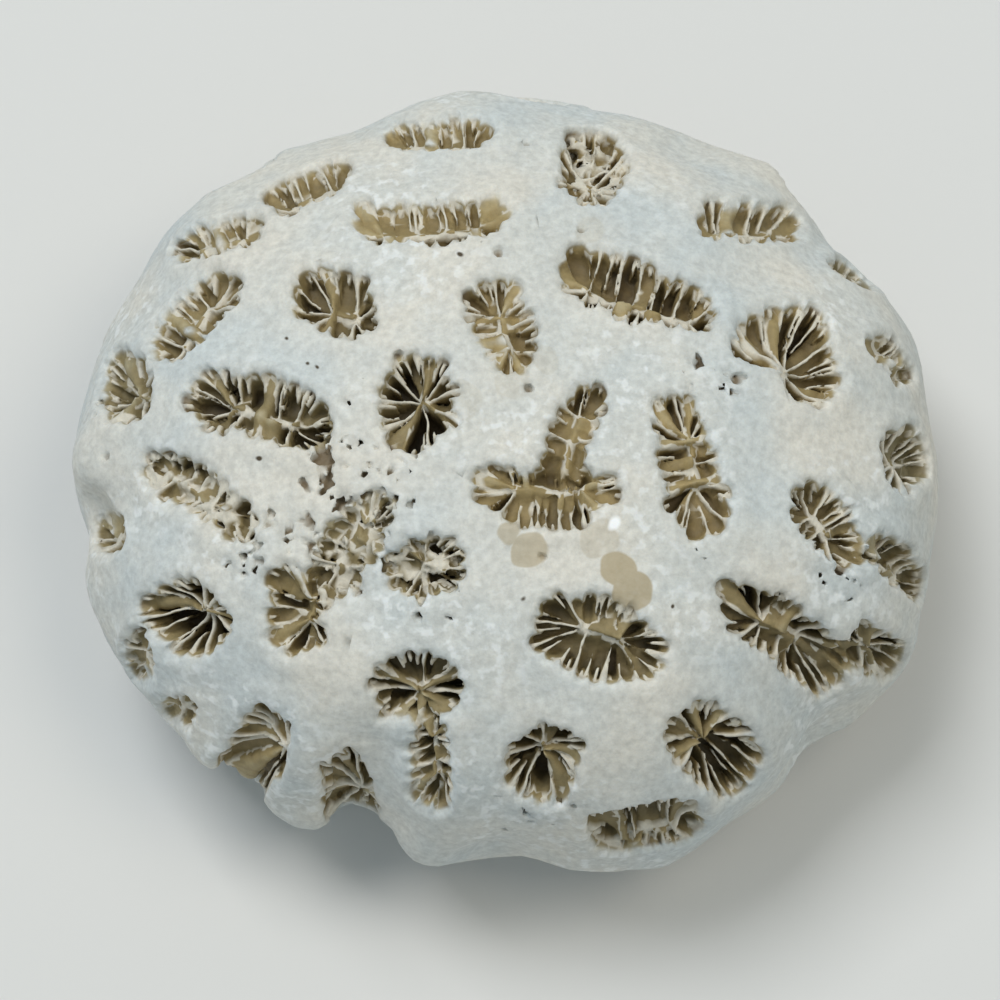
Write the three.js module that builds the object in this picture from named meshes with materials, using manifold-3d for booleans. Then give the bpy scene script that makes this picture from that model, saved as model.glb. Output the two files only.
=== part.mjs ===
// A small beach-worn head of brain coral with long, branching calices. It grew as one piece, so it
// is one solid: a bun-shaped head, cut flat underneath, sunk with calices whose walls carry septa.
// Millimetres, +Z up. The origin is the middle of the flat cut; the front of the head faces -Y.
import * as THREE from "three";
import { mergeVertices } from "three/addons/utils/BufferGeometryUtils.js";
import Module from "manifold-3d";

const wasm = await Module();
wasm.setup();

// The head: its belt is the widest level, and its crown leans towards the front.
const HALF_WIDTH = 27.1;
const HALF_DEPTH = 25.0;
const HEIGHT = 26;
const BELT_HEIGHT = 10;
const UNDER_REACH = 14;
const CROWN_LEAN = new THREE.Vector2(1.2, -2.0);
const SIDE_POWER = 2.5;
const RISE_POWER = 2.1;
const HEAD_SEGMENTS = 48;
const RINGS_UNDER = 3;
const RINGS_OVER = 10;

// Lobes and bays of the outline: [bearing, spread in degrees, how far it stands out, in mm].
const OUTLINE_LOBES = [
  [20, 7, 0.5],
  [40, 9, -1.1],
  [75, 10, -0.7],
  [110, 7, -0.8],
  [140, 9, 0.8],
  [190, 7, -0.9],
  [232, 9, -0.7],
  [250, 8, -2.6],
  [271, 12, -1.5],
  [291, 8, 0.9],
  [318, 6, -1.1],
  [332, 8, 1.0],
];

// The calices are placed as they are seen by an eye in front of and above the head, in
// millimetres across and up from the point that the eye looks at.
const AIM = new THREE.Vector3(-0.3, -1.5, 11);
const EYE_DISTANCE = 250;
const EYE_ELEVATION = THREE.MathUtils.degToRad(72);

// Low swellings and hollows of the surface: [across, up, reach, height], a hollow's height below 0.
const SWELLINGS = [
  [-8.5, -5.6, 3.2, -0.9],
  [-11.5, -0.6, 3.0, -0.5],
  [-25.4, 2.6, 3.4, 0.8],
  [-24.4, -1.0, 2.2, -1.0],
  [-18.2, -15.0, 2.2, 0.8],
  [-12.2, -19.0, 2.2, 0.9],
  [-4.6, -20.8, 3.0, 0.9],
  [4.0, -21.4, 3.0, 0.8],
  [20.0, -14.0, 2.4, -0.8],
  [11.8, 22.0, 2.6, -0.8],
];

// The calices that the eye sees: the two ends of each one's middle line, [across, up], and the
// half-width at each end. One with lobes is several entries that meet.
const SEEN_CALICES = [
  { from: [-13.6, 19.1], to: [-10.3, 20.3], half: [1.3, 1.0] },
  { from: [-19.7, 15.8], to: [-15.6, 17.0], half: [1.0, 0.9] },
  { from: [-20.6, 10.0], to: [-17.5, 13.3], half: [1.4, 1.3] },
  { from: [-11.3, 12.6], to: [-9.6, 12.6], half: [2.1, 2.1] },
  { from: [-23.5, 7.8], to: [-23.4, 6.5], half: [1.55, 1.6] },
  { from: [-17.7, 6.1], to: [-12.4, 5.1], half: [2.1, 2.0] },
  { from: [-20.9, 1.1], to: [-16.6, -0.9], half: [1.55, 1.6] },
  { from: [-19.8, -7.2], to: [-19.6, -7.5], half: [2.45, 2.45] },
  { from: [-12.8, -6.3], to: [-12.8, -7.8], half: [1.9, 1.9] },
  { from: [-11.1, -4.7], to: [-7.8, -0.8], half: [1.5, 1.35] },
  { from: [-5.1, 6.6], to: [-5.1, 5.8], half: [2.7, 2.7] },
  { from: [-5.1, -4.4], to: [-4.3, -4.3], half: [2.1, 2.1] },
  { from: [-0.5, 0.5], to: [3.3, 0.7], half: [1.4, 2.0] },
  { from: [3.3, 0.7], to: [6.2, 0.6], half: [2.0, 1.3] },
  { from: [3.9, 1.9], to: [5.4, 6.3], half: [1.5, 1.35] },
  { from: [-0.3, 12.2], to: [0.7, 9.3], half: [1.9, 1.55] },
  { from: [-8.2, 17.5], to: [-0.4, 17.8], half: [1.25, 1.25] },
  { from: [-6.6, 22.8], to: [-1.4, 22.9], half: [1.0, 1.0] },
  { from: [5.8, 21.2], to: [5.8, 20.8], half: [2.3, 2.3] },
  { from: [5.2, 14.4], to: [12.3, 12.0], half: [1.85, 1.4] },
  { from: [13.2, 17.4], to: [17.8, 17.4], half: [1.15, 1.25] },
  { from: [21.4, 14.6], to: [23.0, 13.7], half: [0.8, 0.8] },
  { from: [24.0, 9.6], to: [25.4, 7.9], half: [0.85, 0.85] },
  { from: [25.5, 2.9], to: [25.6, 2.5], half: [1.8, 1.8] },
  { from: [16.5, 10.1], to: [19.0, 9.6], half: [2.0, 2.3] },
  { from: [19.0, 9.6], to: [19.6, 7.6], half: [2.3, 1.8] },
  { from: [11.1, 5.6], to: [12.7, -0.9], half: [1.6, 2.1] },
  { from: [19.6, 0.0], to: [21.8, -2.7], half: [1.4, 1.35] },
  { from: [24.2, -3.2], to: [26.2, -5.2], half: [1.2, 1.1] },
  { from: [15.3, -6.6], to: [20.2, -10.2], half: [1.8, 2.0] },
  { from: [23.3, -9.6], to: [24.0, -9.8], half: [1.9, 1.8] },
  { from: [3.9, -8.0], to: [8.3, -9.3], half: [2.45, 2.3] },
  { from: [-6.1, -11.9], to: [-4.1, -11.9], half: [2.1, 2.1] },
  { from: [-4.4, -14.7], to: [-4.3, -18.3], half: [1.3, 1.35] },
  { from: [2.8, -16.3], to: [2.8, -16.8], half: [2.45, 2.45] },
  { from: [13.3, -15.9], to: [13.8, -15.9], half: [2.8, 2.8] },
  { from: [7.7, -20.7], to: [11.7, -19.9], half: [1.9, 1.6] },
  { from: [-15.0, -14.7], to: [-15.0, -15.7], half: [2.0, 2.0] },
  { from: [-9.7, -17.0], to: [-9.5, -19.2], half: [1.7, 1.7] },
  { from: [-22.6, -9.3], to: [-22.6, -10.8], half: [0.95, 0.95] },
  { from: [-20.8, -13.2], to: [-19.7, -13.2], half: [0.75, 0.75] },
  { from: [-24.6, -1.9], to: [-24.4, -2.3], half: [1.15, 1.15] },
];

// The rest keep the same spacing round the sides: [bearing in degrees, height of the middle,
// half the length of the middle line, half-width, tilt of that line from level in degrees].
const SIDE_CALICES = [
  [6, 6.0, 1.0, 1.8, 80],
  [26, 8.0, 1.4, 1.9, 20],
  [44, 13.0, 1.0, 1.8, 60],
  [49, 6.2, 1.6, 1.7, 10],
  [68, 9.6, 1.2, 2.0, 75],
  [88, 15.4, 1.8, 1.6, 5],
  [90, 6.6, 1.0, 1.9, 40],
  [110, 10.6, 1.6, 1.8, 110],
  [131, 14.6, 0.8, 1.8, 30],
  [134, 6.8, 1.7, 1.8, 0],
  [156, 9.4, 0.9, 1.9, 90],
  [176, 5.8, 1.4, 1.7, 15],
  [200, 6.2, 0.8, 1.7, 70],
  [224, 5.2, 1.2, 1.7, 10],
  [262, 5.0, 1.6, 1.7, 0],
  [288, 5.2, 1.0, 1.7, 60],
  [313, 6.0, 1.4, 1.8, 15],
  [338, 5.2, 0.9, 1.8, 40],
];

// A calice is sunk by this share of its half-width, and its main septa stand this far apart.
const DEPTH_SHARE = 1.25;
const SEPTUM_SPACING = 2.8;
const SEPTUM_FOOT_SHARE = 0.42;
const CUT_CLEARANCE = 1.4;
const LEAST_SEPTA = 6;
const SMALLEST_DETAIL = 0.04;

// How wide a calice's gaps reach and how near the middle its septa come, as shares of the
// half-width, at the surface of the head and on the floor.
const RIM = { gap: 1.0, septum: 0.8 };
const FLOOR = { gap: 0.74, septum: 0.25 };

const UP = new THREE.Vector3(0, 0, 1);

// How far the outline stands out at a bearing, as a share of the plain ellipse.
function outlineShare(bearing) {
  return OUTLINE_LOBES.reduce((share, [degrees, spread, out]) => {
    const apart = bearing - THREE.MathUtils.degToRad(degrees);
    const wrapped = THREE.MathUtils.radToDeg(Math.atan2(Math.sin(apart), Math.cos(apart)));
    return share + (out / HALF_WIDTH) * Math.exp(-((wrapped / spread) ** 2));
  }, 1);
}

// The level's lift above the belt, from -1 to 1, and how far the crown's lean moves that level.
function levelOf(z) {
  const over = z > BELT_HEIGHT;
  const lift = (z - BELT_HEIGHT) / (over ? HEIGHT - BELT_HEIGHT : UNDER_REACH);
  const lean = over ? lift * lift : 0;
  return { lift, lean };
}

// 0 on the plain head's surface, negative inside it and positive outside.
function headField(point) {
  const { lift, lean } = levelOf(point.z);
  const x = (point.x - CROWN_LEAN.x * lean) / HALF_WIDTH;
  const y = (point.y - CROWN_LEAN.y * lean) / HALF_DEPTH;
  const reach = Math.hypot(x, y) / outlineShare(Math.atan2(y, x));
  return (reach ** SIDE_POWER + Math.abs(lift) ** RISE_POWER) ** (1 / SIDE_POWER) - 1;
}

function headNormal(point) {
  const step = 0.05;
  const slope = (axis) => {
    const ahead = point.clone();
    const behind = point.clone();
    ahead[axis] += step;
    behind[axis] -= step;
    return headField(ahead) - headField(behind);
  };
  return new THREE.Vector3(slope("x"), slope("y"), slope("z")).normalize();
}

// The first point of the head's surface along a ray, or null where the ray misses the head.
function meetHead(start, direction, reach) {
  const step = 0.5;
  const point = start.clone();
  for (let gone = 0; gone < reach; gone += step) {
    if (headField(point) < 0) {
      for (let part = step; part > 1e-4; part /= 2) {
        point.addScaledVector(direction, headField(point) < 0 ? -part / 2 : part / 2);
      }
      return point;
    }
    point.addScaledVector(direction, step);
  }
  return null;
}

const EYE = new THREE.Vector3(0, -Math.cos(EYE_ELEVATION), Math.sin(EYE_ELEVATION))
  .multiplyScalar(EYE_DISTANCE)
  .add(AIM);
const PICTURE_UP = new THREE.Vector3(0, Math.sin(EYE_ELEVATION), Math.cos(EYE_ELEVATION));

// The point of the head that the eye sees at a place across and up. A place just past the edge
// is drawn in towards the aim until it meets the head.
function seenPoint([across, up]) {
  for (let share = 1; share > 0.8; share -= 0.004) {
    const mark = AIM.clone()
      .add(new THREE.Vector3(across * share, 0, 0))
      .addScaledVector(PICTURE_UP, up * share);
    const direction = mark.sub(EYE).normalize();
    const nearest = EYE_DISTANCE - 60;
    const hit = meetHead(EYE.clone().addScaledVector(direction, nearest), direction, 120);
    if (hit) return hit;
  }
  throw new Error("a calice lies off the head");
}

// The point of the head's side at a bearing and height.
function sidePoint(bearing, height) {
  const outward = new THREE.Vector3(Math.cos(bearing), Math.sin(bearing), 0);
  const start = outward.clone().multiplyScalar(2 * HALF_WIDTH).setZ(height);
  return meetHead(start, outward.negate(), 2 * HALF_WIDTH);
}

// A calice in the plane of its own outline: the line's length, its half-widths, the way out of
// the head, and spot(), which takes a place in that plane, [along, beside], to the head.
function seenCalice({ from, to, half }) {
  const start = new THREE.Vector2(...from);
  const end = new THREE.Vector2(...to);
  const length = start.distanceTo(end);
  const middle = start.clone().add(end).multiplyScalar(0.5);
  const along = end.clone().sub(start).divideScalar(length);
  const beside = new THREE.Vector2(-along.y, along.x);
  const spot = (x, y) => {
    const place = middle.clone().addScaledVector(along, x).addScaledVector(beside, y);
    return seenPoint([place.x, place.y]);
  };
  return { length, half, normal: headNormal(seenPoint([middle.x, middle.y])), spot };
}

function sideCalice([bearingDegrees, height, halfLength, halfWidth, tiltDegrees]) {
  const bearing = THREE.MathUtils.degToRad(bearingDegrees);
  const tilt = THREE.MathUtils.degToRad(tiltDegrees);
  const middle = sidePoint(bearing, height);
  const normal = headNormal(middle);
  const level = new THREE.Vector3().crossVectors(UP, normal).normalize();
  const along = level.applyAxisAngle(normal, tilt);
  const beside = new THREE.Vector3().crossVectors(normal, along);
  const inward = normal.clone().negate();
  const spot = (x, y) => {
    const above = middle.clone().addScaledVector(along, x).addScaledVector(beside, y);
    return meetHead(above.addScaledVector(normal, 6), inward, 14);
  };
  return { length: 2 * halfLength, half: [halfWidth, halfWidth], normal, spot };
}

// The height of the low swellings at a point of the surface.
const SWELLING_POINTS = SWELLINGS.map(([across, up, reach, height]) => ({
  centre: seenPoint([across, up]),
  reach,
  height,
}));
function swelling(point) {
  return SWELLING_POINTS.reduce(
    (sum, { centre, reach, height }) =>
      sum + height * Math.exp(-point.distanceToSquared(centre) / reach ** 2),
    0,
  );
}

// A closed geometry as a solid that can be cut.
function solidOf(geometry) {
  const bare = new THREE.BufferGeometry().setAttribute("position", geometry.getAttribute("position"));
  if (geometry.index) bare.setIndex(geometry.index);
  const merged = mergeVertices(bare, 1e-4);
  const mesh = new wasm.Mesh({
    numProp: 3,
    vertProperties: new Float32Array(merged.getAttribute("position").array),
    triVerts: new Uint32Array(merged.index.array),
  });
  return new wasm.Manifold(mesh);
}

// The plain head: a turned profile from the flat cut to the crown, given its outline and lean.
function headGeometry() {
  const profile = [new THREE.Vector2(0, 0)];
  for (let ring = 0; ring < RINGS_UNDER; ring += 1) {
    profile.push(new THREE.Vector2(1, (BELT_HEIGHT * ring) / RINGS_UNDER));
  }
  for (let ring = 0; ring < RINGS_OVER; ring += 1) {
    const climb = Math.sin((ring / RINGS_OVER) * (Math.PI / 2));
    profile.push(new THREE.Vector2(1, BELT_HEIGHT + (HEIGHT - BELT_HEIGHT) * climb));
  }
  profile.push(new THREE.Vector2(0, HEIGHT));
  const geometry = new THREE.LatheGeometry(profile, HEAD_SEGMENTS).rotateX(Math.PI / 2);
  const positions = geometry.getAttribute("position");
  const point = new THREE.Vector3();
  for (let i = 0; i < positions.count; i += 1) {
    point.fromBufferAttribute(positions, i);
    const spread = Math.hypot(point.x, point.y);
    const bearing = Math.atan2(point.y, point.x);
    const { lift, lean } = levelOf(point.z);
    const level = (1 - Math.abs(lift) ** RISE_POWER) ** (1 / SIDE_POWER);
    const reach = spread * level * outlineShare(bearing);
    point.x = CROWN_LEAN.x * lean + HALF_WIDTH * reach * Math.cos(bearing);
    point.y = CROWN_LEAN.y * lean + HALF_DEPTH * reach * Math.sin(bearing);
    if (point.z > SMALLEST_DETAIL) {
      point.addScaledVector(headNormal(point), swelling(point));
    } else {
      point.z = 0;
    }
    positions.setXYZ(i, point.x, point.y, point.z);
  }
  return geometry;
}

// A point beside a calice's floor line: turn runs from 0 to 1 round the calice, and reach is the
// distance from the line as a share of the half-width there.
function besideLine(length, half, turn, reach) {
  const endTurn = Math.PI * ((half[0] + half[1]) / 2);
  const round = 2 * (length + endTurn);
  let along = turn * round;
  const side = along < length + endTurn ? 1 : -1;
  if (side < 0) along -= length + endTurn;
  const [near, far] = side > 0 ? half : [half[1], half[0]];
  const beside =
    along < length
      ? new THREE.Vector2(along - length / 2, (near + (far - near) * (along / length)) * reach)
      : new THREE.Vector2(length / 2, 0).add(
          new THREE.Vector2(0, far * reach).rotateAround(
            new THREE.Vector2(),
            (-Math.PI * (along - length)) / endTurn,
          ),
        );
  return beside.multiplyScalar(side);
}

// The outline of a calice's cavity at one level: three points for each septum, its edge and the
// two corners of the gap beside it, each as a place in the calice's plane.
function cavityOutline({ length, half }, septa, { gap, septum }) {
  const corners = [
    [0, septum],
    [SEPTUM_FOOT_SHARE / 2, gap],
    [1 - SEPTUM_FOOT_SHARE / 2, gap],
  ];
  return Array.from({ length: septa }, (_, k) =>
    corners.map(([offset, reach]) => besideLine(length, half, (k + offset) / septa, reach)),
  ).flat();
}

// The closed body that sinks one calice when it is cut away from the head.
function caliceCutter(calice) {
  const { length, half, normal, spot } = calice;
  const round = 2 * length + Math.PI * (half[0] + half[1]);
  const septa = Math.max(LEAST_SEPTA, Math.round(round / SEPTUM_SPACING));
  const depth = (DEPTH_SHARE * (half[0] + half[1])) / 2;
  const flare = 1 + (1 - FLOOR.gap) * (CUT_CLEARANCE / depth);
  const rim = { gap: RIM.gap * flare, septum: RIM.septum * flare };
  const levels = [
    { outline: cavityOutline(calice, septa, rim), lift: CUT_CLEARANCE },
    { outline: cavityOutline(calice, septa, FLOOR), lift: -depth },
  ];
  const positions = levels.flatMap(({ outline, lift }) =>
    outline.flatMap(({ x, y }) => spot(x, y).addScaledVector(normal, lift).toArray()),
  );
  const [lid, floor] = levels.map(({ outline }) => THREE.ShapeUtils.triangulateShape(outline, []));
  const count = levels[0].outline.length;
  const triangles = [];
  for (let i = 0; i < count; i += 1) {
    const next = (i + 1) % count;
    triangles.push(i, next, i + count, next, next + count, i + count);
  }
  for (const [a, b, c] of lid) triangles.push(a, b, c);
  for (const [a, b, c] of floor) triangles.push(a + count, c + count, b + count);
  const geometry = new THREE.BufferGeometry();
  geometry.setAttribute("position", new THREE.Float32BufferAttribute(positions, 3));
  geometry.setIndex(triangles);
  return geometry;
}

function coralGeometry() {
  const calices = [...SEEN_CALICES.map(seenCalice), ...SIDE_CALICES.map(sideCalice)];
  const cutters = calices.map((calice) => solidOf(caliceCutter(calice)));
  const coral = solidOf(headGeometry()).subtract(wasm.Manifold.union(cutters)).simplify(SMALLEST_DETAIL);
  const mesh = coral.getMesh();
  const geometry = new THREE.BufferGeometry();
  geometry.setAttribute("position", new THREE.BufferAttribute(mesh.vertProperties, 3));
  geometry.setIndex(new THREE.BufferAttribute(mesh.triVerts, 1));
  return geometry;
}

const skeleton = new THREE.MeshStandardMaterial({ color: "#cdcac1", roughness: 0.75, metalness: 0 });

const coral = new THREE.Mesh(coralGeometry(), skeleton);
coral.name = "coral";

const brainCoral = new THREE.Group();
brainCoral.add(coral);

export default brainCoral;
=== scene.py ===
"""A small worn head of brain coral on a pale floor, grown as one solid from a field of voxels."""

import math
from functools import partial

import bmesh
import bpy
import numpy as np
import openvdb
from bpy.props import FloatProperty, FloatVectorProperty, IntProperty, PointerProperty
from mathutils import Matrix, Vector


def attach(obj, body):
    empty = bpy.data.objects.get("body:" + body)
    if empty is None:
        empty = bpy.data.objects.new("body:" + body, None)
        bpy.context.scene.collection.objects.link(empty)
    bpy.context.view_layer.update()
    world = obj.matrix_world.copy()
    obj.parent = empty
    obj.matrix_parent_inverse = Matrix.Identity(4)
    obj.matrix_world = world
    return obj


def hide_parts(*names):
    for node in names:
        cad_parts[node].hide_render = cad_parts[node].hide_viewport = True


bl_info = {
    "name": "Brain Coral Head",
    "version": (1, 0, 0),
    "blender": (4, 5, 0),
    "location": "View3D > Sidebar > Coral",
    "description": "Grows a worn head of brain coral skeleton and sets up its stage",
    "category": "Add Mesh",
}

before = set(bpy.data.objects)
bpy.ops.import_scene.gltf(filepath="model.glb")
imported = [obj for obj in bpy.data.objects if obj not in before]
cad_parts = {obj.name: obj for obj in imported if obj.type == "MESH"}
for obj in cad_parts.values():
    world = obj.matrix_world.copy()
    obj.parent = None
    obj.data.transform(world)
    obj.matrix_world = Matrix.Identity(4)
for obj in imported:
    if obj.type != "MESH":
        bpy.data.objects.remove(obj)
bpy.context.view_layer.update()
MM = 0.001

# The head, in mm, as the solid has it
HALF_WIDTH = 27.1
HALF_DEPTH = 25.0
HEIGHT = 26.0
BELT_HEIGHT = 10.0
UNDER_REACH = 14.0
CROWN_LEAN = (1.2, -2.0)
SIDE_POWER = 2.5
RISE_POWER = 2.1

# Lobes and bays of the outline: bearing and spread in degrees, how far each stands out in mm
OUTLINE_LOBES = [
    (20, 7, 0.5),
    (40, 9, -1.1),
    (75, 10, -0.7),
    (110, 7, -0.8),
    (140, 9, 0.8),
    (190, 7, -0.9),
    (232, 9, -0.7),
    (250, 8, -2.6),
    (271, 12, -1.5),
    (291, 8, 0.9),
    (318, 6, -1.1),
    (332, 8, 1.0),
]

# The eye that the calices are placed from: the point it aims at, in mm, and how wide its picture is
AIM = np.array([-0.3, -1.5, 11.0])
EYE_DISTANCE = 250.0
EYE_ELEVATION = math.radians(72)
SIGHT = np.array([0, math.cos(EYE_ELEVATION), -math.sin(EYE_ELEVATION)])
PICTURE_UP = np.array([0, math.sin(EYE_ELEVATION), math.cos(EYE_ELEVATION)])
EYE = AIM - SIGHT * EYE_DISTANCE
PICTURE_WIDTH = 62.5
SENSOR_WIDTH = 36

# A ray looks for the head this near to AIM, in steps this long in mm, and then halves the step
# that meets it this often
HEAD_REACH = 60
RAY_STEP = 0.25
HALVINGS = 12

# Low swellings and hollows: across, up, reach and height in mm
SWELLINGS = [
    (-8.5, -5.6, 3.2, -0.9),
    (-11.5, -0.6, 3.0, -0.5),
    (-25.4, 2.6, 2.8, 1.2),
    (-24.9, -0.9, 1.5, -1.6),
    (-26.0, -5.0, 2.4, 0.5),
    (-18.2, -15.6, 1.8, 1.2),
    (-12.2, -19.6, 1.9, 1.4),
    (-7.6, -20.6, 1.4, -1.0),
    (-4.6, -21.8, 2.6, 1.0),
    (-0.6, -21.8, 1.6, -0.7),
    (4.6, -22.4, 2.8, 0.9),
    (19.6, -16.6, 1.8, -1.1),
    (22.4, -14.6, 1.8, 0.7),
    (11.8, 22.0, 2.6, -0.8),
    (-3.0, 24.0, 5.0, 1.0),
    (8.6, 23.4, 4.0, 0.5),
    (17.8, 20.6, 4.0, 0.8),
]

# The calices that the eye sees. Each line is its outline, a chain of across, up and half-width in
# mm, then the line or point that its septa run to, how deep it is as a share of its half-width,
# how tan it is and how much of it is crumbled.
SEEN_CALICES = [
    ([(-13.5, 19.0, 1.25), (-10.3, 20.3, 1.0)], [(-13.0, 18.9), (-10.8, 19.7)], 1.1, 0.8, 0.0),
    ([(-19.7, 15.8, 1.0), (-15.6, 17.0, 0.9)], [(-19.0, 15.7), (-16.2, 16.6)], 1.1, 0.7, 0.0),
    ([(-20.6, 10.0, 1.4), (-17.6, 13.2, 1.25)], [(-20.2, 9.9), (-18.4, 12.3)], 1.0, 0.7, 0.0),
    ([(-11.5, 12.9, 1.9), (-9.5, 12.2, 2.0)], [(-10.6, 11.9), (-9.4, 11.7)], 1.0, 0.7, 0.0),
    ([(-23.6, 7.9, 1.5), (-23.4, 6.4, 1.6)], [(-22.9, 6.6)], 0.9, 0.3, 0.2),
    (
        [(-17.8, 6.3, 1.9), (-15.0, 5.9, 2.0), (-12.3, 4.8, 1.8)],
        [(-17.0, 6.0), (-13.4, 4.9)], 1.1, 0.45, 0.15,
    ),
    (
        [(-21.2, 1.6, 1.4), (-18.8, 0.6, 1.6), (-16.2, -1.4, 1.3)],
        [(-20.6, 1.3), (-17.2, -0.8)], 1.0, 0.5, 0.3,
    ),
    ([(-20.2, -7.0, 2.3), (-19.4, -7.6, 2.4)], [(-18.7, -7.0)], 1.0, 0.5, 0.0),
    ([(-13.2, -5.6, 1.6), (-12.6, -8.2, 1.8)], [(-11.7, -6.2), (-12.0, -7.4)], 1.1, 0.7, 0.1),
    (
        [(-10.6, -5.2, 1.6), (-9.4, -2.6, 1.9), (-7.8, -0.8, 1.3)],
        [(-10.2, -4.0), (-8.6, -1.6)], 1.1, 0.4, 0.8,
    ),
    ([(-5.2, 6.8, 2.5), (-5.2, 5.6, 2.5)], [(-4.9, 6.4)], 0.95, 0.6, 0.0),
    ([(-5.4, -4.4, 2.0), (-4.0, -4.2, 1.9)], [(-5.0, -3.9)], 1.1, 0.35, 0.4),
    (
        [(-0.5, 0.7, 1.4), (2.2, 0.3, 1.9), (4.4, 0.3, 1.9), (6.2, 0.6, 1.2)],
        [(0.8, 0.9), (5.0, 0.9)], 0.95, 0.9, 0.0,
    ),
    ([(3.7, 2.0, 1.6), (5.4, 6.4, 1.25)], [(3.9, 2.0), (5.1, 5.4)], 0.95, 0.9, 0.0),
    (
        [(-0.3, 12.2, 1.9), (0.1, 10.9, 2.0), (0.7, 9.2, 1.5)],
        [(0.0, 11.6), (0.5, 9.6)], 0.7, 1.0, 0.0,
    ),
    (
        [(-8.2, 17.4, 1.25), (-4.4, 17.3, 1.3), (-0.4, 17.9, 1.2)],
        [(-7.4, 16.7), (-1.4, 17.2)], 1.1, 0.9, 0.0,
    ),
    ([(-6.6, 22.7, 1.0), (-1.4, 22.9, 1.0)], [(-5.8, 22.3), (-2.2, 22.4)], 1.1, 0.8, 0.1),
    ([(5.7, 21.3, 2.1), (5.9, 20.6, 2.2)], [(5.8, 20.2)], 1.0, 0.9, 0.3),
    (
        [(5.0, 14.5, 1.6), (8.2, 13.2, 1.9), (12.3, 11.9, 1.3)],
        [(5.6, 13.2), (12.0, 11.5)], 1.1, 0.9, 0.0,
    ),
    ([(13.2, 17.5, 1.05), (17.9, 17.3, 1.2)], [(13.9, 16.9), (17.0, 16.8)], 1.1, 0.7, 0.1),
    ([(21.4, 14.6, 0.8), (23.0, 13.7, 0.8)], [(21.8, 14.3), (22.6, 13.8)], 1.2, 0.1, 0.2),
    ([(23.9, 9.7, 0.9), (25.4, 7.9, 0.9)], [(24.3, 9.1), (25.1, 8.3)], 1.1, 0.4, 0.0),
    ([(25.5, 3.0, 1.75), (25.7, 2.4, 1.75)], [(25.0, 2.2)], 0.9, 0.0, 0.0),
    ([(16.4, 10.3, 1.8), (18.6, 10.2, 2.0), (19.6, 7.6, 1.75)], [(17.8, 8.0)], 1.0, 0.9, 0.0),
    (
        [(11.0, 5.6, 1.35), (11.7, 2.6, 1.8), (12.6, -0.6, 2.0)],
        [(11.9, 4.0), (12.4, 1.2)], 0.95, 0.95, 0.0,
    ),
    (
        [(19.6, 0.3, 1.3), (20.3, -1.3, 1.6), (22.0, -2.9, 1.2)],
        [(20.2, -1.0), (21.0, -2.2)], 1.2, 0.6, 0.0,
    ),
    ([(24.2, -3.2, 1.2), (26.2, -5.2, 1.1)], [(24.0, -3.8), (25.4, -5.2)], 1.1, 0.2, 0.0),
    (
        [(15.0, -6.4, 1.5), (17.4, -8.0, 1.9), (20.2, -10.4, 1.9)],
        [(16.8, -8.0), (18.8, -9.2)], 1.1, 0.6, 0.15,
    ),
    ([(22.8, -9.2, 1.6), (24.4, -10.0, 1.6)], [(23.4, -9.5)], 1.0, 0.3, 0.1),
    (
        [(3.9, -8.0, 2.2), (6.2, -8.6, 2.6), (8.4, -9.6, 2.1)],
        [(5.2, -8.0), (7.6, -8.8)], 0.76, 0.5, 0.1,
    ),
    ([(-6.0, -11.9, 2.1), (-4.2, -11.9, 2.1)], [(-5.2, -12.2)], 1.0, 0.4, 0.0),
    ([(-4.6, -14.6, 1.2), (-4.3, -18.2, 1.35)], [(-4.5, -15.0), (-4.3, -17.4)], 1.2, 0.5, 0.0),
    ([(2.9, -16.2, 2.3), (2.6, -16.8, 2.4)], [(2.6, -15.9)], 0.84, 0.5, 0.05),
    ([(12.8, -15.0, 2.3), (14.2, -16.4, 2.3)], [(12.9, -15.2)], 0.76, 0.65, 0.2),
    ([(7.0, -20.8, 1.5), (11.6, -20.2, 1.5)], [(7.6, -21.8), (11.0, -21.2)], 1.1, 0.5, 0.0),
    (
        [(-14.8, -14.4, 1.7), (-15.4, -16.4, 2.0), (-16.2, -18.0, 1.7)],
        [(-13.4, -15.6)], 0.8, 0.8, 0.0,
    ),
    ([(-9.8, -16.9, 1.3), (-9.4, -19.2, 1.7), (-9.4, -20.8, 1.6)], [(-8.7, -18.4)], 0.85, 0.7, 0.1),
    ([(-22.6, -9.3, 0.95), (-22.6, -10.8, 0.95)], [(-22.3, -9.6), (-22.4, -10.4)], 1.0, 0.4, 0.0),
    ([(-20.8, -13.2, 0.75), (-19.7, -13.2, 0.75)], [(-20.2, -13.2)], 1.0, 0.6, 0.0),
    ([(-24.6, -1.9, 1.15), (-24.4, -2.3, 1.15)], [(-24.4, -2.1)], 1.0, 0.4, 0.0),
]

# The rest round the sides: bearing in degrees, height of the middle, half the length of the
# middle line, half-width, tilt of that line from level in degrees
SIDE_CALICES = [
    (6, 6.0, 1.0, 1.8, 80),
    (26, 8.0, 1.4, 1.9, 20),
    (44, 13.0, 1.0, 1.8, 60),
    (49, 6.2, 1.6, 1.7, 10),
    (68, 9.6, 1.2, 2.0, 75),
    (88, 15.4, 1.8, 1.6, 5),
    (90, 6.6, 1.0, 1.9, 40),
    (110, 10.6, 1.6, 1.8, 110),
    (131, 14.6, 0.8, 1.8, 30),
    (134, 6.8, 1.7, 1.8, 0),
    (156, 9.4, 0.9, 1.9, 90),
    (176, 5.8, 1.4, 1.7, 15),
    (200, 6.2, 0.8, 1.7, 70),
    (224, 5.2, 1.2, 1.7, 10),
    (262, 5.0, 1.6, 1.7, 0),
    (288, 5.2, 1.0, 1.7, 60),
    (313, 6.0, 1.4, 1.8, 15),
    (338, 5.2, 0.9, 1.8, 40),
]

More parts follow.
